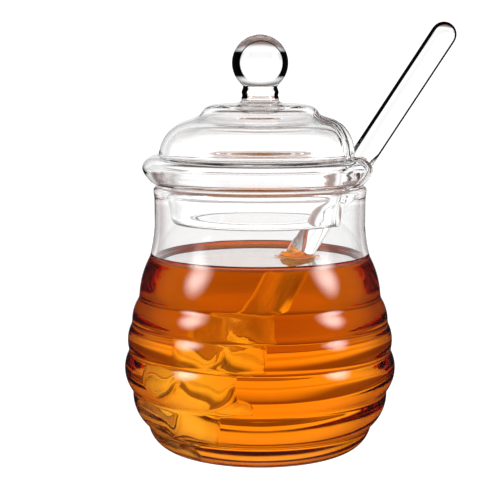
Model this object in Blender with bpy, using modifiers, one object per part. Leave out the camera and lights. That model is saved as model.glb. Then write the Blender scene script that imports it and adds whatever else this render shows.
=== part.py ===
"""A beehive honey pot of clear glass: a ribbed jar with a foot, a domed lid with a ball knob and a notch,
honey up to the first rib, and a glass dipper that leans out through the notch. Metres, +Z up, with the
origin on the jar's axis at the flat foot and the dipper leaning towards +X.
"""

import math

import bpy

GAP = 0.0003  # between pieces that touch
WELD_DISTANCE = 0.00001
POLE_MERGE = 0.00005

# The jar, 85 mm across its widest rib.
JAR_HEIGHT = 0.0827
WALL = 0.0017
FLOOR = 0.0020
LIP_RADIUS = 0.0333
LIP_INNER_RADIUS = 0.0307
LIP_SWELL = 0.0012
NECK_RADIUS = 0.0329
NECK_BOTTOM = 0.0665
FOOT_RADIUS = 0.0275

# Where the ribs meet, from the neck down: radius and height of each valley, and how far each rib swells
# beyond the straight line between its two valleys.
VALLEYS = (
    (NECK_RADIUS, NECK_BOTTOM),
    (0.0379, 0.0479),
    (0.0402, 0.0399),
    (0.0411, 0.0312),
    (0.0400, 0.0186),
    (0.0353, 0.0076),
    (FOOT_RADIUS, 0.0),
)
RIB_SWELLS = (0.0003, 0.0005, 0.0005, 0.0021, 0.0014, 0.0019)
RIB_STEPS = (3, 3, 3, 5, 5, 4)
FLOOR_CORNER_SWELL = 0.0017

# The lid: a knob on a raised cap, the dome, a rolled flange on the jar's rim, and a collar inside the neck.
LID_WALL = 0.0018
LID_BOTTOM = JAR_HEIGHT + GAP
KNOB_RADIUS = 0.0088
KNOB_HEIGHT = 0.1204
KNOB_NECK_RADIUS = 0.0057
KNOB_RING_RADIUS = 0.0063
KNOB_RING_HEIGHT = 0.0026
KNOB_RING_SWELL = 0.0007
CAP_TOP = 0.1081
CAP_CROWN = 0.0004  # how far the cap's middle stands above its edge
CAP_RADIUS = 0.0146
CAP_SWELL = 0.0009
CAP_FOOT_RADIUS = 0.0186
CAP_FOOT = 0.1042
SHOULDER_RADIUS = 0.0232
SHOULDER_HEIGHT = 0.1027
DOME_SWELL = 0.0022
DOME_RADIUS = 0.0316
DOME_FOOT = 0.0919
BEAD_TOP_SWELL = 0.0015
FLANGE_RADIUS = 0.0369
FLANGE_HEIGHT = 0.0881
BEAD_BOTTOM_SWELL = 0.0006
FLANGE_BOTTOM_RADIUS = 0.0328
COLLAR_TOP_RADIUS = 0.0290
COLLAR_BOTTOM_RADIUS = 0.0279
COLLAR_BOTTOM = 0.0710

# The notch for the dipper, an arch cut through flange, dome side and collar.
NOTCH_HALF_WIDTH = 0.0140
NOTCH_ARCH_CENTRE = 0.0890
NOTCH_INNER_END = 0.0150
NOTCH_OUTER_END = 0.0450

# The dipper, measured along its own axis from the tip.
LEAN = math.radians(33.0)
ROD_RADIUS = 0.0040
DIPPER_LENGTH = 0.1545
TIP_RADIUS = 0.0040
HEAD_START = 0.0056
HEAD_LENGTH = 0.0384
HEAD_RADIUS = 0.0107
HEAD_RIBS = 6
WIDEST_SHARE = 0.45  # of the head's length, up from the tip
TAPER_LENGTH_SHARE = 0.75  # of the head's length, half the length of the oval that its ribs touch
GROOVE_DEPTH = 0.0026
SHOULDER_LENGTH = 0.0050
STEPS_PER_RIB = 4

HONEY_LEVEL = 0.0607

JAR_SEGMENTS = 44
LID_SEGMENTS = 40
ROD_SEGMENTS = 20
BALL_STEPS = 9
CAP_STEPS = 3
DOME_STEPS = 6
LIP_STEPS = 5
ROUND_STEPS = 4  # of the small round edges and of the dipper's ends
ARCH_STEPS = 16


def arc(start, end, swell, steps):
    """Points of the arc from start to end that swells to the left of the way, the first point left out."""
    across, up = end[0] - start[0], end[1] - start[1]
    chord = math.hypot(across, up)
    radius = (chord * chord / 4 + swell * swell) / (2 * swell)
    middle = ((start[0] + end[0]) / 2, (start[1] + end[1]) / 2)
    left = (-up / chord, across / chord)
    centre = (middle[0] + left[0] * (swell - radius), middle[1] + left[1] * (swell - radius))
    first = math.atan2(start[1] - centre[1], start[0] - centre[0])
    last = math.atan2(end[1] - centre[1], end[0] - centre[0])
    turn = -math.copysign(math.remainder(last - first, 2 * math.pi), swell)
    points = []
    for step in range(1, steps + 1):
        angle = first + turn * step / steps
        points.append((centre[0] + abs(radius) * math.cos(angle), centre[1] + abs(radius) * math.sin(angle)))
    return points


def circle_points(height, radius, first_degrees, last_degrees, steps):
    """Points on a circle about the axis at that height, from one angle above the horizon to another."""
    points = []
    for step in range(steps + 1):
        angle = math.radians(first_degrees + (last_degrees - first_degrees) * step / steps)
        points.append((radius * math.cos(angle), height + radius * math.sin(angle)))
    return points


def shifted(points, distance):
    """The outline moved to the left of the way it runs by a distance, each point along its own normal."""
    moved = []
    for index, (r, z) in enumerate(points):
        before = points[max(index - 1, 0)]
        after = points[min(index + 1, len(points) - 1)]
        along = (after[0] - before[0], after[1] - before[1])
        length = math.hypot(*along)
        moved.append((r - along[1] / length * distance, z + along[0] / length * distance))
    return moved


def jar_outside():
    """The jar's outer side from the lip down to the edge of the foot."""
    points = [(LIP_RADIUS, JAR_HEIGHT - LIP_SWELL), (NECK_RADIUS, JAR_HEIGHT - 3 * LIP_SWELL), VALLEYS[0]]
    for rib, swell in enumerate(RIB_SWELLS):
        points += arc(VALLEYS[rib], VALLEYS[rib + 1], swell, RIB_STEPS[rib])
    return points


def jar_inside():
    """The jar's inner side from the lip down, round the corner of the floor and to its middle."""
    side = [(LIP_INNER_RADIUS, JAR_HEIGHT - LIP_SWELL)] + shifted(jar_outside(), -WALL)[1 : -RIB_STEPS[-1]]
    side += arc(side[-1], (FOOT_RADIUS - WALL, FLOOR), FLOOR_CORNER_SWELL, RIB_STEPS[-1])
    return side + [(0.0, FLOOR)]


def jar_profile():
    """From the middle of the floor up the inside, over the rounded lip, down the outside and under the foot."""
    outside, inside = jar_outside(), jar_inside()
    rim = arc(inside[0], outside[0], LIP_SWELL, LIP_STEPS)[:-1]
    return inside[::-1] + rim + outside + [(0.0, 0.0)]


def honey_profile():
    """The honey: its level top, then the jar's inside a gap away, down to the middle of the floor."""
    near_wall = shifted(jar_inside(), -GAP)
    below = [point for point in near_wall if point[1] < HONEY_LEVEL]
    above, first = near_wall[-len(below) - 1], below[0]
    share = (above[1] - HONEY_LEVEL) / (above[1] - first[1])
    edge = above[0] + (first[0] - above[0]) * share
    return [(0.0, HONEY_LEVEL), (edge, HONEY_LEVEL)] + below


def knob_points():
    """The ball, its neck and the ring at its foot, from the top down to the cap."""
    neck_angle = -math.degrees(math.acos(KNOB_NECK_RADIUS / KNOB_RADIUS))
    ball = [(0.0, KNOB_HEIGHT + KNOB_RADIUS)]
    ball += circle_points(KNOB_HEIGHT, KNOB_RADIUS, 90, neck_angle, BALL_STEPS)[1:]
    ring_top = (KNOB_NECK_RADIUS, CAP_TOP + KNOB_RING_HEIGHT)
    return ball + [ring_top] + arc(ring_top, (KNOB_RING_RADIUS, CAP_TOP), KNOB_RING_SWELL, ROUND_STEPS)


def dome_outside():
    """The lid's upper side from the cap's edge down to the flange."""
    cap_edge, shoulder = (CAP_RADIUS, CAP_TOP - CAP_CROWN), (SHOULDER_RADIUS, SHOULDER_HEIGHT)
    cap_side = arc(cap_edge, (CAP_FOOT_RADIUS, CAP_FOOT), CAP_SWELL, CAP_STEPS)
    return [cap_edge] + cap_side + [shoulder] + arc(shoulder, (DOME_RADIUS, DOME_FOOT), DOME_SWELL, DOME_STEPS)


def lid_profile():
    """From the top of the ball down the outside, under the flange, round the collar and up the inside."""
    dome = dome_outside()
    flange = (FLANGE_RADIUS, FLANGE_HEIGHT)
    bead = arc(dome[-1], flange, BEAD_TOP_SWELL, ROUND_STEPS)
    bead += arc(flange, (FLANGE_BOTTOM_RADIUS, LID_BOTTOM), BEAD_BOTTOM_SWELL, ROUND_STEPS)
    collar_inside = COLLAR_BOTTOM_RADIUS - LID_WALL
    end_height = COLLAR_BOTTOM + LID_WALL / 2
    collar = [(COLLAR_TOP_RADIUS, LID_BOTTOM), (COLLAR_BOTTOM_RADIUS, end_height)]
    collar += arc((COLLAR_BOTTOM_RADIUS, end_height), (collar_inside, end_height), LID_WALL / 2, ROUND_STEPS)
    collar += [(COLLAR_TOP_RADIUS - LID_WALL, LID_BOTTOM)]
    inside = shifted(dome, -LID_WALL)[::-1]
    top = inside[-1][1]
    return knob_points() + dome + bead + collar + inside + [(0.0, top)]


def dipper_profile(grown=0.0):
    """The dipper from its round top end down the rod, over the ribbed head to the tip, about its own axis."""
    points = circle_points(DIPPER_LENGTH - ROD_RADIUS, ROD_RADIUS, 90, 0, ROUND_STEPS)
    points += [(ROD_RADIUS, HEAD_START + HEAD_LENGTH + SHOULDER_LENGTH)]
    for step in range(HEAD_RIBS * STEPS_PER_RIB, -1, -1):
        share = step / (HEAD_RIBS * STEPS_PER_RIB)
        oval = HEAD_RADIUS * math.sqrt(1 - ((share - WIDEST_SHARE) / TAPER_LENGTH_SHARE) ** 2)
        groove = GROOVE_DEPTH * math.cos(math.pi * step / STEPS_PER_RIB) ** 2
        points += [(oval - groove, HEAD_START + HEAD_LENGTH * share)]
    points += circle_points(TIP_RADIUS, TIP_RADIUS, 0, -90, ROUND_STEPS)
    points[0], points[-1] = (0.0, DIPPER_LENGTH), (0.0, 0.0)
    if grown:
        points = shifted(points, grown)
        points[0], points[-1] = (0.0, DIPPER_LENGTH + grown), (0.0, -grown)
    return points


def dipper_place():
    """Where the dipper's tip is: its rod against the inside of the rim, its tip on the floor."""
    off = ROD_RADIUS + GAP
    leaning = (
        LIP_INNER_RADIUS - off * math.cos(LEAN),
        JAR_HEIGHT - LIP_SWELL + off * math.sin(LEAN),
    )
    tip_centre_height = FLOOR + GAP + TIP_RADIUS
    down = (leaning[1] - tip_centre_height) / math.cos(LEAN) + TIP_RADIUS
    return (leaning[0] - down * math.sin(LEAN), 0.0, leaning[1] - down * math.cos(LEAN))


def collection_named(name):
    """A new collection in the scene."""
    collection = bpy.data.collections.new(name)
    bpy.context.scene.collection.children.link(collection)
    return collection


def material_named(name, color, roughness, transmission, alpha=1.0):
    """A Principled material of that colour, roughness and clearness."""
    material = bpy.data.materials.new(name)
    material.use_nodes = True
    material.diffuse_color = (*color, alpha)
    shader = material.node_tree.nodes["Principled BSDF"]
    shader.inputs["Base Color"].default_value = (*color, 1.0)
    shader.inputs["Roughness"].default_value = roughness
    shader.inputs["Metallic"].default_value = 0.0
    shader.inputs["Transmission Weight"].default_value = transmission
    return material


def turned(name, profile, segments, collection, material=None):
    """A solid turned about the Z axis from a profile that runs down its outer side."""
    mesh = bpy.data.meshes.new(name)
    vertices = [(r, 0.0, z) for r, z in profile]
    edges = [(index, index + 1) for index in range(len(profile) - 1)]
    mesh.from_pydata(vertices, edges, [])
    turned_object = bpy.data.objects.new(name, mesh)
    collection.objects.link(turned_object)
    screw = turned_object.modifiers.new("Turn", "SCREW")
    screw.axis = "Z"
    screw.angle = 2 * math.pi
    screw.steps = segments
    screw.render_steps = segments
    screw.use_merge_vertices = True
    screw.merge_threshold = POLE_MERGE
    screw.use_smooth_shade = True
    if material:
        mesh.materials.append(material)
    return turned_object


def hide(cutter):
    """Leaves a cutter out of the model."""
    cutter.hide_render = True
    cutter.display_type = "WIRE"


def cut(target, cutter):
    """Takes a cutter's shape out of a solid."""
    boolean = target.modifiers.new("Cut by " + cutter.name, "BOOLEAN")
    boolean.operation = "DIFFERENCE"
    boolean.solver = "EXACT"
    boolean.object = cutter


def lean(dipper):
    """Stands a shape made about the dipper's axis in its place in the jar."""
    dipper.location = dipper_place()
    dipper.rotation_euler = (0.0, LEAN, 0.0)


def notch_cutter(collection):
    """The arch of the notch, an upright slot with a round top that runs out through the lid's side."""
    outline = bpy.data.curves.new("notch_outline", "CURVE")
    outline.dimensions = "2D"
    outline.fill_mode = "BOTH"
    outline.extrude = (NOTCH_OUTER_END - NOTCH_INNER_END) / 2
    below = COLLAR_BOTTOM - LID_WALL
    points = circle_points(NOTCH_ARCH_CENTRE, NOTCH_HALF_WIDTH, 0, 180, ARCH_STEPS)
    points = [(NOTCH_HALF_WIDTH, below)] + points + [(-NOTCH_HALF_WIDTH, below)]
    spline = outline.splines.new("POLY")
    spline.points.add(len(points) - 1)
    for spline_point, (across, height) in zip(spline.points, points):
        spline_point.co = (across, height, 0.0, 1.0)
    spline.use_cyclic_u = True
    curve_object = bpy.data.objects.new("notch_outline", outline)
    collection.objects.link(curve_object)
    bpy.context.view_layer.update()
    evaluated = curve_object.evaluated_get(bpy.context.evaluated_depsgraph_get())
    cutter = bpy.data.objects.new("notch_cutter", bpy.data.meshes.new_from_object(evaluated))
    bpy.data.objects.remove(curve_object)
    collection.objects.link(cutter)
    weld = cutter.modifiers.new("Weld", "WELD")
    weld.merge_threshold = WELD_DISTANCE
    cutter.location = ((NOTCH_INNER_END + NOTCH_OUTER_END) / 2, 0.0, 0.0)
    cutter.rotation_euler = (math.radians(90.0), 0.0, math.radians(90.0))
    hide(cutter)
    return cutter


def main():
    """Makes the four solids, the jar, the lid, the dipper and the honey, with their two cutters."""
    for old in list(bpy.data.objects):
        bpy.data.objects.remove(old)
    pot = collection_named("beehive_honey_pot")
    cutters = collection_named("cutters")
    glass = (0.93, 0.95, 0.95)
    jar_glass = material_named("jar_glass", glass, 0.02, 1.0, 0.35)
    lid_glass = material_named("lid_glass", glass, 0.02, 1.0, 0.35)
    dipper_glass = material_named("dipper_glass", glass, 0.02, 1.0, 0.6)
    honey_amber = material_named("honey_amber", (0.85, 0.32, 0.02), 0.05, 0.6)

    turned("jar", jar_profile(), JAR_SEGMENTS, pot, jar_glass)

    lid = turned("lid", lid_profile(), LID_SEGMENTS, pot, lid_glass)
    cut(lid, notch_cutter(cutters))

    dipper = turned("dipper", dipper_profile(), ROD_SEGMENTS, pot, dipper_glass)
    lean(dipper)

    honey = turned("honey", honey_profile(), JAR_SEGMENTS, pot, honey_amber)
    dipper_space = turned("dipper_space", dipper_profile(GAP), ROD_SEGMENTS, cutters)
    lean(dipper_space)
    hide(dipper_space)
    cut(honey, dipper_space)


main()
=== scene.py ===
"""The looks of a beehive honey pot: a ribbed glass jar, its lid with a ball knob, honey and a glass dipper.

Every piece is turned from an outline about the jar's axis, or about the dipper's own, and stands where its
CAD node stands. Metres throughout, +Z up, with the origin on the jar's axis at the foot.
"""

import logging
import math
from dataclasses import dataclass, field, replace
from enum import Enum
from typing import Any, Union

import bmesh
import bpy
from mathutils import Matrix, Vector, noise


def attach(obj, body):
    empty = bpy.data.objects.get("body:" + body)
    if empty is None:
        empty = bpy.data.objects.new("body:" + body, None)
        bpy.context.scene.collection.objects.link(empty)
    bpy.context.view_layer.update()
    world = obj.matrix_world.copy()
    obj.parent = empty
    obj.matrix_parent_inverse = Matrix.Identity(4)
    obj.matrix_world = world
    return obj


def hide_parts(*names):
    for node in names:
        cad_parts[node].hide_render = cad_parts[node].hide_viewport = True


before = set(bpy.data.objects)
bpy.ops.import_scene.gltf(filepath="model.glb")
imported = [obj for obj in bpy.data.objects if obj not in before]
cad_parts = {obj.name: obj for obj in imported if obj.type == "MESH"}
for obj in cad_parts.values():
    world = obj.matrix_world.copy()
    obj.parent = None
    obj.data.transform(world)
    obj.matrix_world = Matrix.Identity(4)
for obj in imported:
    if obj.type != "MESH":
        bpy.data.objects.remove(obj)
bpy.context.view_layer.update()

BODY = "root"
AXIS = Vector((0.0, 0.0, 1.0))
ORIGIN = Vector((0.0, 0.0, 0.0))
MERGE = 1e-6  # points closer than this are one
ARC_STEPS = 12
NOISE_ROUGHNESS = 0.4
NOISE_SEED = 1  # without it the noise of a mesh starts from the clock
HONEY_LEVEL = 0.0600  # of its flat top
WALL_CLIMB = 0.0014  # how far it climbs the jar's wall
log = logging.getLogger("honey_pot")

Point = tuple[float, float]
Triple = tuple[float, float, float]
Color = tuple[float, float, float]

WHITE: Color = (1.0, 1.0, 1.0)
BLACK: Color = (0.0, 0.0, 0.0)


class Node(Enum):
    """The CAD nodes that the pieces stand for."""

    JAR = "jar"
    LID = "lid"
    HONEY = "honey"
    DIPPER = "dipper"


class Slot(Enum):
    """The record's material slots."""

    JAR = "jar_glass"
    LID = "lid_glass"
    HONEY = "honey"
    DIPPER = "dipper_glass"


# Outlines


@dataclass(frozen=True)
class Outline:
    """A line of points, each a radius and a height, that a piece is turned from."""

    points: tuple[Point, ...]

    @property
    def end(self) -> Point:
        """The last point."""
        return self.points[-1]

    def __add__(self, other: "Outline") -> "Outline":
        """This outline and then another."""
        return Outline(self.points + other.points)

    def reversed(self) -> "Outline":
        """The same points the other way round."""
        return Outline(self.points[::-1])

    def line_to(self, *points: Point) -> "Outline":
        """The outline with straight lines on to more points."""
        return Outline(self.points + points)

    def arc_to(self, end: Point, swell: float, steps: int) -> "Outline":
        """The outline with an arc on to a point.

        Args:
            end: Where the arc ends.
            swell: How far it stands out to the left of the straight way, or to the right if negative.
            steps: How many points it adds.

        Returns:
            The longer outline.
        """
        start = self.end
        across, up = end[0] - start[0], end[1] - start[1]
        chord = math.hypot(across, up)
        radius = (chord * chord / 4 + swell * swell) / (2 * swell)
        left = (-up / chord, across / chord)
        centre = (
            (start[0] + end[0]) / 2 + left[0] * (swell - radius),
            (start[1] + end[1]) / 2 + left[1] * (swell - radius),
        )
        first = math.atan2(start[1] - centre[1], start[0] - centre[0])
        last = math.atan2(end[1] - centre[1], end[0] - centre[0])
        turn = -math.copysign(math.remainder(last - first, math.tau), swell)
        added = []
        for step in range(1, steps + 1):
            angle = first + turn * step / steps
            cosine, sine = math.cos(angle), math.sin(angle)
            added.append((centre[0] + abs(radius) * cosine, centre[1] + abs(radius) * sine))
        return self.line_to(*added)

    def spaced(self, spacing: float) -> "Outline":
        """Points evenly apart along the same line.

        Args:
            spacing: The distance between neighbours, about.

        Returns:
            The outline with its first and last points kept.
        """
        lengths = [math.dist(a, b) for a, b in zip(self.points, self.points[1:])]
        count = max(2, round(sum(lengths) / spacing))
        step, made, at = sum(lengths) / count, [self.points[0]], 0.0
        for (a, b), length in zip(zip(self.points, self.points[1:]), lengths):
            while len(made) * step < at + length and len(made) < count:
                share = (len(made) * step - at) / length
                made.append((a[0] + (b[0] - a[0]) * share, a[1] + (b[1] - a[1]) * share))
            at += length
        return Outline(tuple(made) + (self.end,))

    def softened(self, spacing: float, reach: float) -> "Outline":
        """The outline with its corners rounded as fire rounds glass.

        Args:
            spacing: The distance between the new points.
            reach: How far a corner's rounding reaches each way, about.

        Returns:
            Evenly spaced points, the first and last kept.
        """
        points = list(self.spaced(spacing).points)
        for _ in range(round(2 * (reach / spacing) ** 2)):
            inner = [
                ((a[0] + 2 * b[0] + c[0]) / 4, (a[1] + 2 * b[1] + c[1]) / 4)
                for a, b, c in zip(points, points[1:], points[2:])
            ]
            points[1:-1] = inner
        return Outline(tuple(points))

    def beside(self, distance: float) -> "Outline":
        """The outline moved sideways.

        Args:
            distance: How far it moves to the left of the way it runs, or to the right if negative.

        Returns:
            The moved outline, with as many points.
        """
        moved = []
        for index, (radius, height) in enumerate(self.points):
            before = self.points[max(index - 1, 0)]
            after = self.points[min(index + 1, len(self.points) - 1)]
            length = math.dist(before, after)
            moved.append((
                radius - (after[1] - before[1]) / length * distance,
                height + (after[0] - before[0]) / length * distance,
            ))
        return Outline(tuple(moved))

    def below(self, height: float) -> "Outline":
        """The part of a falling outline that lies under a height.

        Args:
            height: Where it is cut.

        Returns:
            The rest of the outline, starting exactly at that height.
        """
        under = [point for point in self.points if point[1] < height]
        above = self.points[len(self.points) - len(under) - 1]
        share = (above[1] - height) / (above[1] - under[0][1])
        start = (above[0] + (under[0][0] - above[0]) * share, height)
        return Outline((start, *under))

    def shape(self, columns: int, start: float = 0.0, full: bool = True) -> bmesh.types.BMesh:
        """The outline turned about the Z axis.

        Args:
            columns: The steps of the turn.
            start: The angle that it starts at, and stops short of a full turn by on an open turn.
            full: Whether the turn closes on itself.

        Returns:
            A mesh whose poles are closed.
        """
        shape = bmesh.new()
        ring = shape.verts.layers.int.new("ring")
        points = []
        for index, (radius, height) in enumerate(self.points):
            point = shape.verts.new((radius * math.cos(start), radius * math.sin(start), height))
            point[ring] = index
            points.append(point)
        edges = [shape.edges.new(pair) for pair in zip(points, points[1:])]
        bmesh.ops.spin(
            shape, geom=points + edges, cent=ORIGIN, axis=AXIS, dvec=ORIGIN,
            angle=math.tau - 2 * start, steps=columns, use_merge=full, use_duplicate=False,
        )
        bmesh.ops.remove_doubles(shape, verts=shape.verts[:], dist=MERGE)
        bmesh.ops.recalc_face_normals(shape, faces=shape.faces[:])
        return shape


# Materials


class Socket:
    """A node's output, on which arithmetic adds Math nodes."""

    def __init__(self, sheet: "NodeSheet", output: bpy.types.NodeSocket) -> None:
        """Keeps the output and the node sheet that it is on."""
        self.sheet, self.output = sheet, output

    def _math(self, operation: str, first: Any, second: Any) -> "Socket":
        """A Math node on two values or sockets."""
        return self.sheet.add("ShaderNodeMath", {"operation": operation}, {0: first, 1: second})

    def __add__(self, other: Union["Socket", float]) -> "Socket":
        """The sum."""
        return self._math("ADD", self, other)

    def __radd__(self, other: float) -> "Socket":
        """The sum, with the number first."""
        return self._math("ADD", other, self)

    def __sub__(self, other: Union["Socket", float]) -> "Socket":
        """The difference."""
        return self._math("SUBTRACT", self, other)

    def __rsub__(self, other: float) -> "Socket":
        """The difference, with the number first."""
        return self._math("SUBTRACT", other, self)

    def __mul__(self, other: Union["Socket", float]) -> "Socket":
        """The product."""
        return self._math("MULTIPLY", self, other)

    def __rmul__(self, other: float) -> "Socket":
        """The product, with the number first."""
        return self._math("MULTIPLY", other, self)


class NodeSheet:
    """The nodes of one material or of the world."""

    def __init__(self, name: str, world: bool = False) -> None:
        """Makes a material or a world with nothing on its sheet but its output.

        Args:
            name: Its name.
            world: Whether it is a world.
        """
        self.owner = bpy.data.worlds.new(name) if world else bpy.data.materials.new(name)
        self.owner.use_nodes = True
        self.tree = self.owner.node_tree
        self.tree.nodes.clear()
        self.output = self.tree.nodes.new("ShaderNodeOutputWorld" if world else "ShaderNodeOutputMaterial")

    def add(self, kind: str, settings: dict[str, Any], inputs: dict[Any, Any], output: Any = 0) -> Socket:
        """Adds a node.

        Args:
            kind: The node's type.
            settings: Properties of the node, which are set first.
            inputs: A value or a Socket for each input, by name or number.
            output: Which of its outputs is wanted.

        Returns:
            That output.
        """
        node = self.tree.nodes.new(kind)
        for name, value in settings.items():
            setattr(node, name, value)
        for name, value in inputs.items():
            if isinstance(value, Socket):
                self.tree.links.new(value.output, node.inputs[name])
            else:
                node.inputs[name].default_value = value
        return Socket(self, node.outputs[output])

    def place(self, stretch: Triple = (1.0, 1.0, 1.0)) -> Socket:
        """The point on the piece, each of its parts times its own number."""
        point = self.add("ShaderNodeTexCoord", {}, {}, "Object")
        return self.add("ShaderNodeMapping", {}, {"Vector": point, "Scale": stretch})

    def part(self, vector: Socket, axis: str) -> Socket:
        """The X, Y or Z of a vector."""
        return self.add("ShaderNodeSeparateXYZ", {}, {0: vector}, axis)

    def length(self, vector: Socket) -> Socket:
        """How long a vector is."""
        return self.add("ShaderNodeVectorMath", {"operation": "LENGTH"}, {0: vector}, "Value")

    def waves(self, place: Socket, length: float, detail: float = 1.0) -> Socket:
        """Noise from 0 to 1 whose waves are a length apart."""
        inputs = {"Vector": place, "Scale": 1 / length, "Detail": detail, "Roughness": NOISE_ROUGHNESS}
        return self.add("ShaderNodeTexNoise", {"noise_dimensions": "3D"}, inputs, "Fac")

    def step(self, value: Socket, low: float, high: float, first: float = 0.0, last: float = 1.0) -> Socket:
        """A smooth step of a value.

        Args:
            value: What is stepped.
            low: Where the step starts.
            high: Where it ends.
            first: The result below it.
            last: The result above it.

        Returns:
            The result.
        """
        settings = {"interpolation_type": "SMOOTHSTEP"}
        inputs = {"Value": value, "From Min": low, "From Max": high, "To Min": first, "To Max": last}
        return self.add("ShaderNodeMapRange", settings, inputs)

    def blend(self, share: Socket, first: Color, second: Union[Color, Socket]) -> Socket:
        """A colour between two."""
        last = second if isinstance(second, Socket) else (*second, 1.0)
        return self.add("ShaderNodeMix", {"data_type": "RGBA"}, {0: share, 6: (*first, 1.0), 7: last}, 2)

    def bump(self, relief: Socket) -> Socket:
        """The normal of a surface with a relief in metres."""
        return self.add("ShaderNodeBump", {}, {"Strength": 1.0, "Distance": 1.0, "Height": relief}, "Normal")

    def surface(self, shader: Socket) -> None:
        """Puts a shader on the material's surface."""
        self.tree.links.new(shader.output, self.output.inputs["Surface"])

    def volume(self, shader: Socket) -> None:
        """Puts a shader in the material's volume."""
        self.tree.links.new(shader.output, self.output.inputs["Volume"])

    def shine(self, tint: Union[Color, Socket], strength: Union[Socket, float]) -> None:
        """Makes the surface black, with light of its own.

        Args:
            tint: The light's colour.
            strength: How bright it is.
        """
        light = tint if isinstance(tint, Socket) else (*tint, 1.0)
        inputs = {
            "Base Color": (*BLACK, 1.0), "Roughness": 1.0, "Specular IOR Level": 0.0,
            "Emission Color": light, "Emission Strength": strength,
        }
        self.surface(self.add("ShaderNodeBsdfPrincipled", {}, inputs))


@dataclass(frozen=True)
class PaintedEdgeShade:
    """Painted shade on the edge of thick round glass, where it bends the light from the dark sides of a
    room.

    Its depth is 1 less the cosine of the angle at which the glass is seen, and more on its shaded side.
    """

    start: float  # the depth at which it starts
    full: float
    shaded_side: Triple  # the way its shaded side faces, where the painted dark edge is wider
    shaded_side_extra: float
    above: float  # the height that it starts above
    rise: float = 0.001  # the height over which it comes in
    top: float = 2.0  # how steeply a surface faces up where its painted dark edge thins out
    top_softness: float = 0.08
    thinned: float = 0.75  # what the painted dark edge loses there
    thins_past: tuple[float, float] = (0.02, 0.05)  # how far past full that starts and ends
    bottom: float = -2.0  # how steeply it faces down where the painted dark edge ends
    bottom_softness: float = 0.1
    middle: float = 1.0  # what passes just inside the painted dark edge, the rest being painted grey shade
    middle_from: float = 0.02

    def share(self, sheet: NodeSheet, facing: Socket, height: Socket, edge_on: Socket) -> Socket:
        """Works out how dark the glass's painted edge shade is.

        Args:
            sheet: The material's nodes.
            facing: 0 where the glass faces the eye, 1 where it is seen edge on.
            height: How high a point of it is.
            edge_on: How dark the painted edge-on shade is below this edge.

        Returns:
            0 where it is clear, 1 where it is black.
        """
        normal = sheet.add("ShaderNodeNewGeometry", {}, {}, "Normal")
        toward_shaded_side = {0: normal, 1: self.shaded_side}
        side = sheet.add("ShaderNodeVectorMath", {"operation": "DOT_PRODUCT"}, toward_shaded_side, "Value")
        up = sheet.part(normal, "Z")
        depth = facing + side * self.shaded_side_extra
        dark = sheet.step(depth, self.start, self.full)
        crown = sheet.step(up, self.top - self.top_softness, self.top + self.top_softness)
        beyond = sheet.step(depth, *(self.full + past for past in self.thins_past))
        steepest, shallowest = self.bottom - self.bottom_softness, self.bottom + self.bottom_softness
        under = sheet.step(up, steepest, shallowest, 1.0, 0.0)
        dark = dark * (1.0 - crown * beyond * self.thinned) * (1.0 - under)
        here = sheet.step(height, self.above, self.above + self.rise)
        # painted grey shade just inside the painted dark edge
        painted_edge_grey = sheet.step(depth, self.middle_from, self.start) * (1.0 - self.middle) * here
        return dark * here + painted_edge_grey * (1.0 - dark) + edge_on * (1.0 - here)


@dataclass(frozen=True)
class ClearGlass:
    """Blown or drawn glass with the faint unevenness of work at the lamp."""

    name: str
    ior: float
    wave_length: float
    wave_depth: float
    cord_length: float
    cord_depth: float
    cord_stretch: Triple
    gloss: float = 1.0
    # painted dark edge for thick round glass, if any
    edge: PaintedEdgeShade | None = None
    painted_edge_grey: float = 0.0  # painted shade: how much darker the glass is where it is seen edge on
    painted_edge_grey_from: float = 0.6
    painted_edge_grey_full: float = 1.0
    fill: float = 0.0  # the height up to which the glass is full; below it a painted reddish shade reaches further in from its edge
    fill_fade: float = 0.0005
    # painted reddish shade below the fill height: how strong, the facings over which it comes in, and its
    # colour
    deep: float = 0.85
    deep_from: float = 0.22
    deep_full: float = 0.62
    painted_filled_edge_shade: Color = (0.16, 0.03, 0.03)

    def tint(self, sheet: NodeSheet) -> Socket:
        """Paints shade on the glass where it is seen edge on, and further in where it is full or thick and
        round.

        Args:
            sheet: The material's nodes.

        Returns:
            What passes of each colour.
        """
        facing = sheet.add("ShaderNodeLayerWeight", {}, {"Blend": 0.5}, "Facing")
        edge_on = sheet.step(facing, self.painted_edge_grey_from, self.painted_edge_grey_full, 0.0, self.painted_edge_grey)
        height = sheet.part(sheet.place(), "Z")
        if self.edge:
            return sheet.blend(self.edge.share(sheet, facing, height, edge_on), WHITE, BLACK)
        filled = sheet.step(height, self.fill - self.fill_fade, self.fill, 1.0, 0.0)
        deep = sheet.step(facing, self.deep_from, self.deep_full, 0.0, self.deep) * filled
        return sheet.blend(edge_on + deep * (1.0 - edge_on), WHITE, self.painted_filled_edge_shade)

    def material(self) -> bpy.types.Material:
        """Makes glass whose surface rolls in long waves, with fine cords drawn along it.

        Returns:
            The material.
        """
        sheet = NodeSheet(self.name)
        long_waves = sheet.waves(sheet.place(), self.wave_length)
        cords = sheet.waves(sheet.place(self.cord_stretch), self.cord_length, 2.0)
        relief = long_waves * self.wave_depth + cords * self.cord_depth
        inputs = {
            "Base Color": self.tint(sheet), "Roughness": 0.0, "Transmission Weight": 1.0, "IOR": self.ior,
            "Normal": sheet.bump(relief), "Specular Tint": (self.gloss, self.gloss, self.gloss, 1.0),
        }
        sheet.surface(sheet.add("ShaderNodeBsdfPrincipled", {}, inputs))
        return sheet.owner


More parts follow.
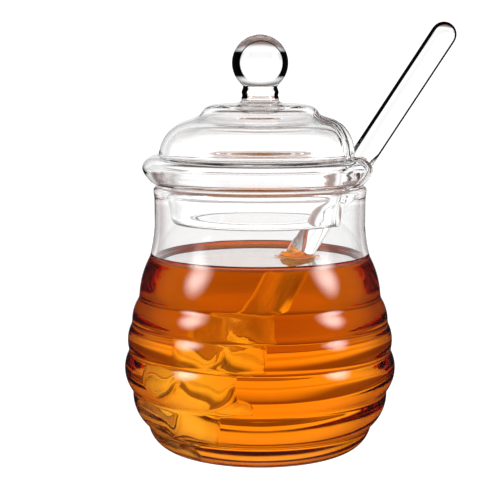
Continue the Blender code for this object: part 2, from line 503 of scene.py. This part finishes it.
@dataclass(frozen=True)
class ClearHoney:
    """Runny honey, clear amber where it is thin and deep orange where it is thick."""

    name: str
    ior: float
    tone: Color  # what of each colour one unit of depth lets through, by density
    density: float  # per metre
    swirl_length: float
    swirl_depth: float
    level: float
    painted_wall_rim_shade: Color = (0.6, 0.2, 0.04)  # painted shade: the dark red-brown rim where it climbs the jar's wall
    rod_tint: Color = (1.0, 0.9, 0.04)  # of the ring where it climbs the dipper
    rod_side: tuple[float, float] = (0.0265, 0.0275)  # the distances from the axis that divide the two
    climb_heights: tuple[float, float] = (0.0001, 0.0004)  # above the level, where those tints come in
    skin_heights: tuple[float, float] = (-0.0002, -0.0001)  # where the open skin starts
    skin_ior: float = 1.5
    skin_shade: Color = (0.5, 0.5, 0.5)

    def material(self) -> bpy.types.Material:
        """Makes a clear body that keeps back blue and much of the green, under a faintly rolling skin.

        Returns:
            The material.
        """
        sheet = NodeSheet(self.name)
        skin = sheet.waves(sheet.place(), self.swirl_length, 2.0) * self.swirl_depth
        shared = {
            "Base Color": (*WHITE, 1.0), "Roughness": 0.0, "Transmission Weight": 1.0,
            "IOR": self.ior, "Normal": sheet.bump(skin),
        }
        height = sheet.part(sheet.place(), "Z")
        climbing = sheet.step(height, *(self.level + over for over in self.climb_heights))
        at_wall = sheet.step(sheet.length(sheet.place((1.0, 1.0, 0.0))), *self.rod_side)
        # the climbing rim: honey's own golden tint at the dipper, painted dark shade at the jar's wall
        rod_tint_and_wall_shade = sheet.blend(at_wall, self.rod_tint, self.painted_wall_rim_shade)
        skin_coat = {
            "Base Color": sheet.blend(climbing, WHITE, rod_tint_and_wall_shade), "Coat Weight": 1.0 - climbing,
            "Coat Roughness": 0.0, "Coat IOR": self.skin_ior, "Coat Tint": (*self.skin_shade, 1.0),
        }
        open_top = sheet.add("ShaderNodeBsdfPrincipled", {}, shared | skin_coat)
        in_glass = sheet.add("ShaderNodeBsdfPrincipled", {}, shared | {"Specular Tint": (*BLACK, 1.0)})
        share = sheet.step(height, *(self.level + over for over in self.skin_heights))
        sheet.surface(sheet.add("ShaderNodeMixShader", {}, {0: share, 1: in_glass, 2: open_top}))
        inputs = {"Color": (*self.tone, 1.0), "Density": self.density}
        sheet.volume(sheet.add("ShaderNodeVolumeAbsorption", {}, inputs))
        return sheet.owner


@dataclass(frozen=True)
class Glow:
    """A studio surface that shines by itself, evenly or fading from its middle."""

    name: str
    tint: Color
    strength: float
    fade: tuple[float, float] | None = None  # half width and half height of the light patch

    def material(self) -> bpy.types.Material:
        """Makes light of one tint.

        Returns:
            The material.
        """
        sheet = NodeSheet(self.name)
        strength: Any = self.strength
        if self.fade:
            middle = sheet.place((1 / self.fade[0], 1 / self.fade[1], 0.0))
            ball = {"gradient_type": "SPHERICAL"}
            inward = sheet.add("ShaderNodeTexGradient", ball, {"Vector": middle}, "Fac")
            strength = sheet.step(inward, 0.0, 1.0, 0.0, self.strength)
        sheet.shine(self.tint, strength)
        return sheet.owner


@dataclass(frozen=True)
class TableLight:
    """Light from below that changes with the distance from the pot."""

    name: str
    rings: tuple[tuple[float, float], ...]
    warm_ring: tuple[float, float, float, float] = (0.05, 0.08, 0.20, 0.26)  # radii where it comes and goes
    warm_tint: Color = (1.0, 0.7, 0.62)

    def material(self) -> bpy.types.Material:
        """Makes rings of light of their own brightness that blend into each other.

        Returns:
            The material.
        """
        sheet = NodeSheet(self.name)
        away = sheet.length(sheet.place())
        strength: Any = self.rings[0][1]
        for (inner, before), (outer, after) in zip(self.rings, self.rings[1:]):
            strength = sheet.step(away, inner, outer, 0.0, after - before) + strength
        first, full, fading, last = self.warm_ring
        share = sheet.step(away, first, full) * sheet.step(away, fading, last, 1.0, 0.0)
        sheet.shine(sheet.blend(share, WHITE, self.warm_tint), strength)
        return sheet.owner


# Pieces


@dataclass(frozen=True)
class Unevenness:
    """The slow unevenness of hand-blown glass."""

    depth: float  # how far a point moves at most
    length: float  # the distance between bumps
    seed: Triple  # where in the noise the shape lies
    upright: float = 0.3  # how much of the move goes up or down

    def roll(self, shape: bmesh.types.BMesh) -> None:
        """Moves the points of a turned shape."""
        for vert in shape.verts:
            away = noise.noise_vector(vert.co / self.length + Vector(self.seed))
            away.z *= self.upright
            vert.co += away * self.depth


def as_piece(shape: bmesh.types.BMesh, name: str, material: bpy.types.Material) -> bpy.types.Object:
    """Makes a smooth object of a shape, at the origin, and frees the shape.

    Args:
        shape: The mesh in its final place.
        name: The piece's name.
        material: Its finish.

    Returns:
        The object, in the scene.
    """
    for face in shape.faces:
        face.smooth = True
    mesh = bpy.data.meshes.new(name)
    shape.to_mesh(mesh)
    shape.free()
    mesh.materials.append(material)
    piece = bpy.data.objects.new(name, mesh)
    bpy.context.scene.collection.objects.link(piece)
    return piece


def settle(piece: bpy.types.Object, node: Node) -> bpy.types.Object:
    """Says what a piece rides on and what it stands for.

    Args:
        piece: The finished piece.
        node: The CAD node that it replaces.

    Returns:
        The piece.
    """
    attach(piece, BODY)
    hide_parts(node.value)
    log.info("%s stands for %s, with %d faces", piece.name, node.value, len(piece.data.polygons))
    return piece


def with_modifiers_applied(piece: bpy.types.Object) -> None:
    """Turns what a piece's modifiers make into its own mesh.

    Args:
        piece: The piece, which keeps its name and loses its modifiers.
    """
    graph = bpy.context.evaluated_depsgraph_get()
    made = bpy.data.meshes.new_from_object(piece.evaluated_get(graph), depsgraph=graph)
    piece.modifiers.clear()
    piece.data = made


@dataclass
class RibbedJar:
    """The jar: a neck, three narrow ribs, three wide ones and a foot."""

    height: float = 0.0827
    wall: float = 0.0017
    floor: float = 0.0020
    lip_radius: float = 0.0333
    lip_inner_radius: float = 0.0307
    lip_swell: float = 0.0012
    neck_radius: float = 0.0329
    foot_radius: float = 0.0275
    foot_hollow: float = 0.0004
    foot_rings: tuple[float, float] = (0.003, 0.006)  # how far in the foot is flat, and then hollow
    valleys: tuple[Point, ...] = (
        (0.0329, 0.0700), (0.0344, 0.0608), (0.0379, 0.0479), (0.0402, 0.0399), (0.0411, 0.0312),
        (0.0400, 0.0186), (0.0353, 0.0076), (0.0275, 0.0),
    )
    swells: tuple[float, ...] = (-0.0002, 0.0008, 0.0007, 0.0009, 0.0020, 0.0015, 0.0019)
    floor_corner: float = 0.0017
    lip_steps: int = 10
    rounding: float = 0.0005  # how far fire has rounded the outside's corners
    inner_rounding: float = 0.0009
    spacing: float = 0.00055
    columns: int = 144
    wetted_to: float = HONEY_LEVEL + WALL_CLIMB
    unevenness: Unevenness = Unevenness(0.00008, 0.022, (3.0, 1.0, 7.0))
    # painted shade at the glass's edges, darker and reddish below the honey's level
    finish: ClearGlass = ClearGlass(
        "blown_jar_glass", ior=1.47, wave_length=0.016, wave_depth=0.00006, cord_length=0.005,
        cord_depth=0.000004, cord_stretch=(1.0, 1.0, 0.4),
        painted_edge_grey=0.7, painted_edge_grey_from=0.5, painted_edge_grey_full=0.9, fill=0.0612,
    )

    def outside(self) -> Outline:
        """Draws the outer side.

        Returns:
            The outline from the lip down to the edge of the foot.
        """
        line = Outline(((self.lip_radius, self.height - self.lip_swell),))
        line = line.line_to((self.neck_radius, self.height - 3 * self.lip_swell), self.valleys[0])
        for valley, swell in zip(self.valleys[1:], self.swells):
            line = line.arc_to(valley, swell, ARC_STEPS)
        return line

    def inside(self) -> Outline:
        """Draws the inner side, softer than the outside.

        Returns:
            The outline from the lip down to the middle of the floor.
        """
        outer = self.outside()
        last_valley = len(outer.points) - ARC_STEPS
        wall = outer.beside(-self.wall).points[1:last_valley]
        line = Outline(((self.lip_inner_radius, self.height - self.lip_swell), *wall))
        line = line.arc_to((self.foot_radius - self.wall, self.floor), self.floor_corner, ARC_STEPS)
        return line.line_to((0.0, self.floor)).softened(self.spacing, self.inner_rounding)

    def build(self) -> bpy.types.Object:
        """Turns the jar from the middle of its floor, over the lip and down to the middle of the foot.

        Returns:
            The jar, with a second finish where honey wets its inside.
        """
        outside, inside = self.outside(), self.inside()
        line = inside.reversed().arc_to(outside.points[0], self.lip_swell, self.lip_steps)
        line += Outline(outside.points[1:])
        flat, hollow = (self.foot_radius - inset for inset in self.foot_rings)
        line = line.line_to((flat, 0.0), (hollow, self.foot_hollow), (0.0, self.foot_hollow))
        line = line.softened(self.spacing, self.rounding)
        shape = line.shape(self.columns)
        ring = shape.verts.layers.int["ring"]
        lip = max(range(len(line.points)), key=lambda index: line.points[index][1])
        for face in shape.faces:
            wet = all(vert[ring] < lip and vert.co.z < self.wetted_to for vert in face.verts)
            face.material_index = int(wet)
        self.unevenness.roll(shape)
        for vert in shape.verts:
            vert.co.z = max(vert.co.z, 0.0)
        piece = as_piece(shape, "ribbed_jar", self.finish.material())
        wetted = replace(self.finish, name="wetted_jar_glass", gloss=0.0)
        piece.data.materials.append(wetted.material())
        return settle(piece, Node.JAR)


@dataclass
class GlassDipper:
    """The dipper: a round rod with a grooved head, leaning out of the jar."""

    lean: float = math.radians(33.0)
    rod_radius: float = 0.0040
    length: float = 0.1544
    tip_radius: float = 0.0040
    head_start: float = 0.0056
    head_length: float = 0.0384
    head_radius: float = 0.0107
    head_ribs: int = 6
    widest_share: float = 0.45
    taper_share: float = 0.75
    groove: float = 0.0026
    groove_narrowness: int = 3
    steps_per_rib: int = 16
    shoulder: float = 0.0050
    gap: float = 0.0003
    rounding: float = 0.0005
    spacing: float = 0.0005
    columns: int = 72
    # painted dark edge along the rod where it stands above the lid, wider on its upper left, shaded side
    finish: ClearGlass = ClearGlass(
        "drawn_dipper_glass", ior=1.6, wave_length=0.014, wave_depth=0.00003, cord_length=0.004,
        cord_depth=0.000004, cord_stretch=(1.0, 1.0, 0.15),
        edge=PaintedEdgeShade(0.36, 0.42, (-0.84, 0.0, 0.54), shaded_side_extra=0.12, above=0.0905, middle=0.92),
    )

    def outline(self) -> Outline:
        """Draws the dipper about its own axis.

        Returns:
            The outline from the round top end down the rod, over the head's ribs to the tip.
        """
        quarter_swell = 1 - math.sqrt(0.5)  # of a quarter of a circle, as a share of its radius
        line = Outline(((0.0, self.length),))
        line = line.arc_to(
            (self.rod_radius, self.length - self.rod_radius), self.rod_radius * quarter_swell, ARC_STEPS
        )
        line = line.line_to((self.rod_radius, self.head_start + self.head_length + self.shoulder))
        steps = self.steps_per_rib * self.head_ribs
        for step in range(steps, -1, -1):
            share = step / steps
            oval = self.head_radius * math.sqrt(1 - ((share - self.widest_share) / self.taper_share) ** 2)
            groove = self.groove * abs(math.cos(math.pi * share * self.head_ribs)) ** self.groove_narrowness
            line = line.line_to((oval - groove, self.head_start + self.head_length * share))
        line = line.line_to((self.tip_radius, self.tip_radius))
        line = line.arc_to((0.0, 0.0), self.tip_radius * quarter_swell, ARC_STEPS)
        return line.softened(self.spacing, self.rounding)

    def place(self, jar: RibbedJar) -> Matrix:
        """Stands the dipper in the jar, its rod on the rim and its tip on the floor.

        Args:
            jar: The jar that it leans in.

        Returns:
            The turn and move.
        """
        off = self.rod_radius + self.gap
        rim = (
            jar.lip_inner_radius - off * math.cos(self.lean),
            jar.height - jar.lip_swell + off * math.sin(self.lean),
        )
        tip_height = jar.floor + self.gap + self.tip_radius
        down = (rim[1] - tip_height) / math.cos(self.lean) + self.tip_radius
        tip = Vector((rim[0] - down * math.sin(self.lean), 0.0, rim[1] - down * math.cos(self.lean)))
        return Matrix.Translation(tip) @ Matrix.Rotation(self.lean, 4, "Y")

    def shape(self, jar: RibbedJar, shrunk: float = 0.0) -> bmesh.types.BMesh:
        """The dipper standing in the jar.

        Args:
            jar: The jar that it leans in.
            shrunk: How far inside its own surface it lies.

        Returns:
            The mesh, in place.
        """
        line = self.outline()
        if shrunk:
            inner = line.beside(-shrunk).points
            line = Outline(((0.0, self.length - shrunk), *inner[1:-1], (0.0, shrunk)))
        shape = line.shape(self.columns)
        bmesh.ops.transform(shape, matrix=self.place(jar), verts=shape.verts[:])
        return shape

    def build(self, jar: RibbedJar) -> bpy.types.Object:
        """Turns the dipper, leans it in the jar and returns it."""
        piece = as_piece(self.shape(jar), "glass_dipper", self.finish.material())
        return settle(piece, Node.DIPPER)


@dataclass
class HoneyFill:
    """The honey, which wets the jar's wall and the dipper and climbs both a little."""

    level: float = HONEY_LEVEL
    into_wall: float = 0.0003
    wall_climb: float = WALL_CLIMB
    wall_reach: float = 0.0020
    wall_hollow: float = 0.3  # how far the climb sags below a straight slope, as a share of its height
    wall_steps: int = 8
    rod_climb: float = 0.0020
    rod_reach: float = 0.0008
    shrunk: float = 0.00015
    spacing: float = 0.0005
    columns: int = 144
    finish: ClearHoney = ClearHoney(
        "amber_honey", ior=1.495, tone=(0.994, 0.863, 0.447), density=150.0,
        swirl_length=0.012, swirl_depth=0.00002, level=HONEY_LEVEL,
    )

    def outline(self, jar: RibbedJar) -> Outline:
        """Draws the honey as it fills a jar, reaching just into the glass.

        Args:
            jar: The jar.

        Returns:
            The outline from the middle of the level top to the wall, up it and down to the floor.
        """
        into_glass = jar.inside().beside(self.into_wall).below(self.level + self.wall_climb)
        edge = into_glass.points[0][0]
        top = Outline(((0.0, self.level), (edge - self.wall_reach, self.level)))
        climbed, hollow = (edge, self.level + self.wall_climb), self.wall_hollow * self.wall_climb
        top = top.arc_to(climbed, -hollow, self.wall_steps)
        line = top + Outline(into_glass.points[1:-1])
        return line.line_to((0.0, jar.floor - self.into_wall)).spaced(self.spacing)

    def climb_dipper(self, shape: bmesh.types.BMesh, jar: RibbedJar, dipper: GlassDipper) -> None:
        """Raises the honey's top in a ring where it clings to the rod.

        Args:
            shape: The honey, whose points are moved.
            jar: The jar that the dipper leans in.
            dipper: The dipper.
        """
        place = dipper.place(jar)
        foot, along = place.translation, (place.to_3x3() @ AXIS).normalized()
        for vert in shape.verts:
            if vert.co.z < self.level - MERGE:
                continue
            out = vert.co - foot
            gap = max(0.0, (out - along * out.dot(along)).length - dipper.rod_radius)
            vert.co.z += self.rod_climb * math.exp(-gap / self.rod_reach)

    def build(self, jar: RibbedJar, dipper: GlassDipper) -> bpy.types.Object:
        """Turns the honey, raises its edges and takes the dipper out of it.

        Args:
            jar: The jar that it fills.
            dipper: The dipper that stands in it.

        Returns:
            The honey.
        """
        shape = self.outline(jar).shape(self.columns)
        self.climb_dipper(shape, jar, dipper)
        piece = as_piece(shape, "amber_honey_fill", self.finish.material())
        cutter = as_piece(dipper.shape(jar, self.shrunk), "dipper_space", self.finish.material())
        cut = piece.modifiers.new("Dipper", "BOOLEAN")
        cut.operation = "DIFFERENCE"
        cut.solver = "EXACT"
        cut.object = cutter
        with_modifiers_applied(piece)
        bpy.data.objects.remove(cutter)
        return settle(piece, Node.HONEY)


@dataclass
class DomedLid:
    """The lid: ball knob, raised cap, dome, rolled flange, collar, and a notch for the dipper."""

    wall: float = 0.0018
    bottom: float = 0.0830
    knob_radius: float = 0.0088
    knob_height: float = 0.1204
    knob_neck: tuple[Point, ...] = (
        (0.0053, 0.1128), (0.0060, 0.1114), (0.0054, 0.1105),
        (0.0060, 0.1096), (0.0056, 0.1089), (0.0068, 0.1082),
    )
    ball_steps: int = 14
    cap_top: float = 0.1081
    cap_line: tuple[Point, ...] = ((0.0090, 0.1081), (0.0122, 0.1080))
    cap_edge: Point = (0.0146, 0.1077)
    cap_foot: Point = (0.0186, 0.1042)
    cap_round: tuple[float, int] = (0.0009, 4)  # how far its side swells, and in how many steps
    shoulder: Point = (0.0232, 0.1027)
    dome_foot: Point = (0.0316, 0.0919)
    dome_round: tuple[float, int] = (0.0022, 9)
    flange: Point = (0.0369, 0.0881)
    flange_round: tuple[float, int] = (0.0015, 5)
    flange_bottom_radius: float = 0.0328
    flange_under: tuple[float, int] = (0.0006, 4)
    collar_top_radius: float = 0.0290
    collar_bottom_radius: float = 0.0279
    collar_bottom: float = 0.0710
    collar_shares: tuple[float, ...] = (0.33, 0.67, 1.0)
    ceiling_radii: tuple[float, ...] = (0.0085, 0.0040, 0.0)
    notch_half_width: float = 0.0140
    notch_arch_height: float = 0.0890
    rim_swell: float = 0.0004
    rim_reach: float = 0.0016
    columns: int = 72
    squeeze: float = 0.6  # how much closer the columns stand at the notch
    seam: float = 0.001
    smoothing: int = 2
    unevenness: Unevenness = Unevenness(0.00008, 0.020, (5.0, 2.0, 9.0))
    # painted grey shade at the lid's edges, and a painted dark edge on the ball knob, wider on its left,
    # shaded side
    finish: ClearGlass = ClearGlass(
        "blown_lid_glass", ior=1.47, wave_length=0.014, wave_depth=0.00005, cord_length=0.005,
        cord_depth=0.000004, cord_stretch=(1.0, 1.0, 0.4), painted_edge_grey=0.6, painted_edge_grey_from=0.4,
        edge=PaintedEdgeShade(
            0.32, 0.35, (-1.0, 0.0, 0.0), shaded_side_extra=0.06, above=0.1086, top=0.45, bottom=-0.55, middle=0.8
        ),
    )
    sides: list[int] = field(default_factory=list)
    mouths: list[float] = field(default_factory=list)

    def crown(self) -> Outline:
        """Draws the ball, its ringed neck and the cap's top.

        Returns:
            The outline from the top of the ball outwards.
        """
        radius, height = self.knob_radius, self.knob_height
        meets = -math.acos(self.knob_neck[0][0] / radius)
        points = [(0.0, height + radius)]
        for step in range(1, self.ball_steps + 1):
            angle = math.pi / 2 + (meets - math.pi / 2) * step / self.ball_steps
            points.append((radius * math.cos(angle), height + radius * math.sin(angle)))
        return Outline(tuple(points)).line_to(*self.knob_neck, *self.cap_line)

    def dome(self) -> Outline:
        """The upper side from the cap's edge down to the flange."""
        line = Outline((self.cap_edge,)).arc_to(self.cap_foot, *self.cap_round).line_to(self.shoulder)
        return line.arc_to(self.dome_foot, *self.dome_round)

    def outline(self) -> Outline:
        """Draws the lid from the top of the ball down the outside, round the collar and up the inside.

        Returns:
            The outline. For each of its points, sides holds 1 outside the notch's wall, -1 inside it and 0
            elsewhere, and mouths half the width of the notch there.
        """
        crown, dome = self.crown(), self.dome()
        rim = Outline((dome.end,)).arc_to(self.flange, *self.flange_round)
        rim = rim.arc_to((self.flange_bottom_radius, self.bottom), *self.flange_under)
        collar_top = (self.collar_top_radius, self.bottom)
        rim = rim.line_to(collar_top)
        end_height = self.collar_bottom + self.wall / 2
        tip = (self.collar_bottom_radius - self.wall / 2, self.collar_bottom)
        collar = Outline((collar_top,))
        for share in self.collar_shares:
            collar = collar.line_to((
                self.collar_top_radius + (self.collar_bottom_radius - self.collar_top_radius) * share,
                self.bottom + (end_height - self.bottom) * share,
            ))
        outer = Outline(dome.points + rim.points[1:] + collar.points[1:])
        inner = outer.beside(-self.wall)
        line = crown + outer + Outline((tip,)) + inner.reversed()
        line = line.line_to(*((radius, self.cap_top - self.wall) for radius in self.ceiling_radii))
        outer_mouths = [self.mouth(height) for _, height in outer.points]
        before, after = len(crown.points), len(self.ceiling_radii)
        wall_mouths = outer_mouths + [self.notch_half_width] + outer_mouths[::-1]
        self.mouths = [0.0] * before + wall_mouths + [0.0] * after
        self.sides = [0] * before + [1] * len(outer_mouths) + [0] + [-1] * len(outer_mouths) + [0] * after
        return line

    def mouth(self, height: float) -> float:
        """Half the notch's width at a height."""
        over = max(0.0, height - self.notch_arch_height)
        return math.sqrt(max(0.0, self.notch_half_width ** 2 - over ** 2))

    def open_seam(self, shape: bmesh.types.BMesh) -> None:
        """Draws the turn's seam apart to the notch's arch, like a curtain, and closes what is above it.

        Args:
            shape: The turned lid, whose points are moved.
        """
        ring = shape.verts.layers.int["ring"]
        for vert in shape.verts:
            radius = math.hypot(vert.co.x, vert.co.y)
            if radius < MERGE:
                continue
            angle = math.atan2(vert.co.y, vert.co.x) % math.tau
            share = (angle - self.seam) / (math.tau - 2 * self.seam)
            share -= self.squeeze * math.sin(math.tau * share) / math.tau
            mouth = math.asin(min(1.0, self.mouths[vert[ring]] / radius))
            angle = mouth + share * (math.tau - 2 * mouth)
            vert.co.x, vert.co.y = radius * math.cos(angle), radius * math.sin(angle)
        bmesh.ops.remove_doubles(shape, verts=shape.verts[:], dist=MERGE)

    def close_notch(self, shape: bmesh.types.BMesh) -> None:
        """Joins the lid's outer and inner side along the notch.

        Args:
            shape: The lid with its seam open.
        """
        ring = shape.verts.layers.int["ring"]
        for side in (1, -1):
            chains: list[bmesh.types.BMEdge] = []
            for edge in shape.edges:
                ends = edge.verts
                if not edge.is_boundary or (ends[0].co.y + ends[1].co.y) * side <= 0:
                    continue
                if self.sides[ends[0][ring]] * self.sides[ends[1][ring]] == 1:
                    chains.append(edge)
            bmesh.ops.bridge_loops(shape, edges=chains)
        bmesh.ops.holes_fill(shape, edges=[edge for edge in shape.edges if edge.is_boundary], sides=8)

    def swell_rim(self, shape: bmesh.types.BMesh) -> None:
        """Thickens the glass along the notch, as the flame leaves it.

        Args:
            shape: The closed lid, whose points are moved.
        """
        ring = shape.verts.layers.int["ring"]
        shape.normal_update()
        moves = []
        for vert in shape.verts:
            if vert.co.x < 0 or not self.sides[vert[ring]]:
                continue
            over = max(0.0, vert.co.z - self.notch_arch_height)
            away = math.hypot(vert.co.y, over) - self.notch_half_width
            moves.append((vert, vert.normal * self.rim_swell * math.exp(-((away / self.rim_reach) ** 2))))
        for vert, move in moves:
            vert.co += move

    def build(self) -> bpy.types.Object:
        """Turns the lid, opens its notch and rounds it all.

        Returns:
            The lid.
        """
        shape = self.outline().shape(self.columns, self.seam, False)
        self.open_seam(shape)
        self.close_notch(shape)
        bmesh.ops.recalc_face_normals(shape, faces=shape.faces[:])
        self.swell_rim(shape)
        self.unevenness.roll(shape)
        piece = as_piece(shape, "domed_lid", self.finish.material())
        rounding = piece.modifiers.new("Rounding", "SUBSURF")
        rounding.levels = rounding.render_levels = self.smoothing
        with_modifiers_applied(piece)
        return settle(piece, Node.LID)


@dataclass
class Studio:
    """A pale table in a white room with a dark ceiling, and two softboxes in front.

    Glass mirrors a room that is dark but for its far wall, and lets the white one through.
    """

    camera_place: Triple = (-0.0031, -0.450, 0.1201)
    camera_tilt: float = math.radians(7.326)
    lens: float = 104.19
    sensor: float = 36.0
    near: float = 0.01
    white: float = 1.2
    through_glass: float = 1.3
    mirrored_wall: float = 0.8
    wall_fade: tuple[float, float] = (0.95, 0.98)  # cosines of the way off +Y at which the bright wall ends
    wall_heights: tuple[float, float] = (0.5, 0.8)  # sines of the heights between which it dims
    wall_top: float = 0.1  # what is left of it above
    dark: float = 0.02
    ceiling: float = 0.1
    ceiling_fade: tuple[float, float] = (0.42, 0.65)  # sines of the heights between which the room darkens
    floor_size: float = 6.0
    floor_drop: float = 0.0002  # how far the table lies under the foot
    table_rings: tuple[tuple[float, float], ...] = (
        (0.0, 1.35), (0.026, 1.35), (0.03, 0.9), (0.065, 0.9), (0.08, 0.6), (0.10, 0.6), (0.13, 0.46),
        (0.155, 0.3), (0.21, 0.32), (0.29, 1.1), (0.35, 1.4), (0.5, 1.0), (0.9, 1.0), (2.0, 1.25),
    )  # radius and brightness
    softbox_angles: tuple[float, ...] = (-66.0, 70.0)  # from -Y towards +X
    softbox_rise: float = math.radians(27.0)
    softbox_distance: float = 0.6
    softbox_half: tuple[float, float] = (0.17, 0.26)
    softbox_aim: float = 0.04  # the height that they turn to
    softbox_tint: Color = (1.0, 0.96, 0.93)
    softbox_strength: float = 17.0
    glass_crossings: int = 40
    mirrorings: int = 16
    scatterings: int = 3

    def sees(self, thing: bpy.types.Object, camera: bool, diffuse: bool, glossy: bool, bent: bool) -> None:
        """Sets which kinds of ray meet a studio surface, and logs that it is in the studio.

        Args:
            thing: The surface.
            camera: Whether the camera sees it.
            diffuse: Whether it lights matt surfaces.
            glossy: Whether it shows in reflections.
            bent: Whether it shows through glass.
        """
        thing.visible_camera, thing.visible_diffuse = camera, diffuse
        thing.visible_glossy, thing.visible_transmission = glossy, bent
        thing.visible_shadow = False
        log.info("%s is in the studio", thing.name)

    def light_room(self) -> None:
        """Fills the room with white light, which fades towards the ceiling except behind the pot."""
        sheet = NodeSheet("white_room", world=True)
        way = sheet.add("ShaderNodeTexCoord", {}, {}, "Generated")
        height, back = sheet.part(way, "Z"), sheet.part(way, "Y")
        seen = sheet.add("ShaderNodeLightPath", {}, {}, "Is Camera Ray")
        bent = sheet.add("ShaderNodeLightPath", {}, {}, "Is Transmission Ray")
        through = sheet.step(height, *self.ceiling_fade, self.through_glass, self.ceiling)
        wall = sheet.step(back, *self.wall_fade, self.dark, self.mirrored_wall)
        wall = wall * sheet.step(height, *self.wall_heights, 1.0, self.wall_top)
        strength = seen * self.white + (1.0 - seen) * (wall * (1.0 - bent) + through * bent)
        shader = sheet.add("ShaderNodeBackground", {}, {"Color": (*WHITE, 1.0), "Strength": strength})
        sheet.surface(shader)
        bpy.context.scene.world = sheet.owner

    def lay_floor(self) -> None:
        """Lays a pale table as the camera sees it, and the light that comes up from it."""
        for name, finish in (
            ("pale_table", Glow("pale_table", WHITE, self.white)),
            ("table_light", TableLight("table_light", self.table_rings)),
        ):
            shape = bmesh.new()
            bmesh.ops.create_grid(shape, x_segments=1, y_segments=1, size=self.floor_size / 2)
            bmesh.ops.translate(shape, verts=shape.verts[:], vec=(0.0, 0.0, -self.floor_drop))
            seen = name == "pale_table"
            self.sees(as_piece(shape, name, finish.material()), seen, not seen, False, not seen)

    def hang_softboxes(self) -> None:
        """Hangs tall soft lights at both sides of the camera, each fading from its middle."""
        width, height = self.softbox_half
        glow = Glow("softbox", self.softbox_tint, self.softbox_strength, self.softbox_half).material()
        level = math.cos(self.softbox_rise)
        for name, angle in zip(("softbox_left", "softbox_right"), self.softbox_angles):
            shape = bmesh.new()
            bmesh.ops.create_grid(shape, x_segments=1, y_segments=1, size=1.0)
            bmesh.ops.scale(shape, verts=shape.verts[:], vec=(width, height, 1.0))
            box = as_piece(shape, name, glow)
            turn = math.radians(angle)
            out = Vector((math.sin(turn) * level, -math.cos(turn) * level, math.sin(self.softbox_rise)))
            box.location = out * self.softbox_distance + AXIS * self.softbox_aim
            box.rotation_euler = (-out).to_track_quat("-Z", "Y").to_euler()
            self.sees(box, False, True, True, False)

    def stand_camera(self) -> None:
        """Stands the camera a little above the honey's level, looking slightly down."""
        data = bpy.data.cameras.new("camera")
        data.lens, data.sensor_width = self.lens, self.sensor
        data.clip_start = self.near
        camera = bpy.data.objects.new("camera", data)
        camera.location = self.camera_place
        camera.rotation_euler = (math.pi / 2 - self.camera_tilt, 0.0, 0.0)
        bpy.context.scene.collection.objects.link(camera)
        bpy.context.scene.camera = camera

    def set_light_paths(self) -> None:
        """Lets light cross jar, honey and dipper often enough, with plain colours in the picture."""
        scene = bpy.context.scene
        scene.cycles.max_bounces = self.glass_crossings
        scene.cycles.transmission_bounces = self.glass_crossings
        scene.cycles.glossy_bounces = self.mirrorings
        scene.cycles.diffuse_bounces = self.scatterings
        scene.cycles.caustics_reflective = scene.cycles.caustics_refractive = True
        scene.cycles.blur_glossy = 0.0
        scene.view_settings.view_transform = "Standard"

    def build(self) -> None:
        """Sets up light, floor and camera."""
        self.light_room()
        self.lay_floor()
        self.hang_softboxes()
        self.stand_camera()
        self.set_light_paths()


def main() -> None:
    """Builds the pot from the inside out, then the studio round it."""
    logging.basicConfig(level=logging.INFO, format="%(message)s")
    noise.seed_set(NOISE_SEED)
    jar, dipper = RibbedJar(), GlassDipper()
    jar.build()
    dipper.build(jar)
    HoneyFill().build(jar, dipper)
    DomedLid().build()
    Studio().build()


if __name__ == "__main__":
    main()
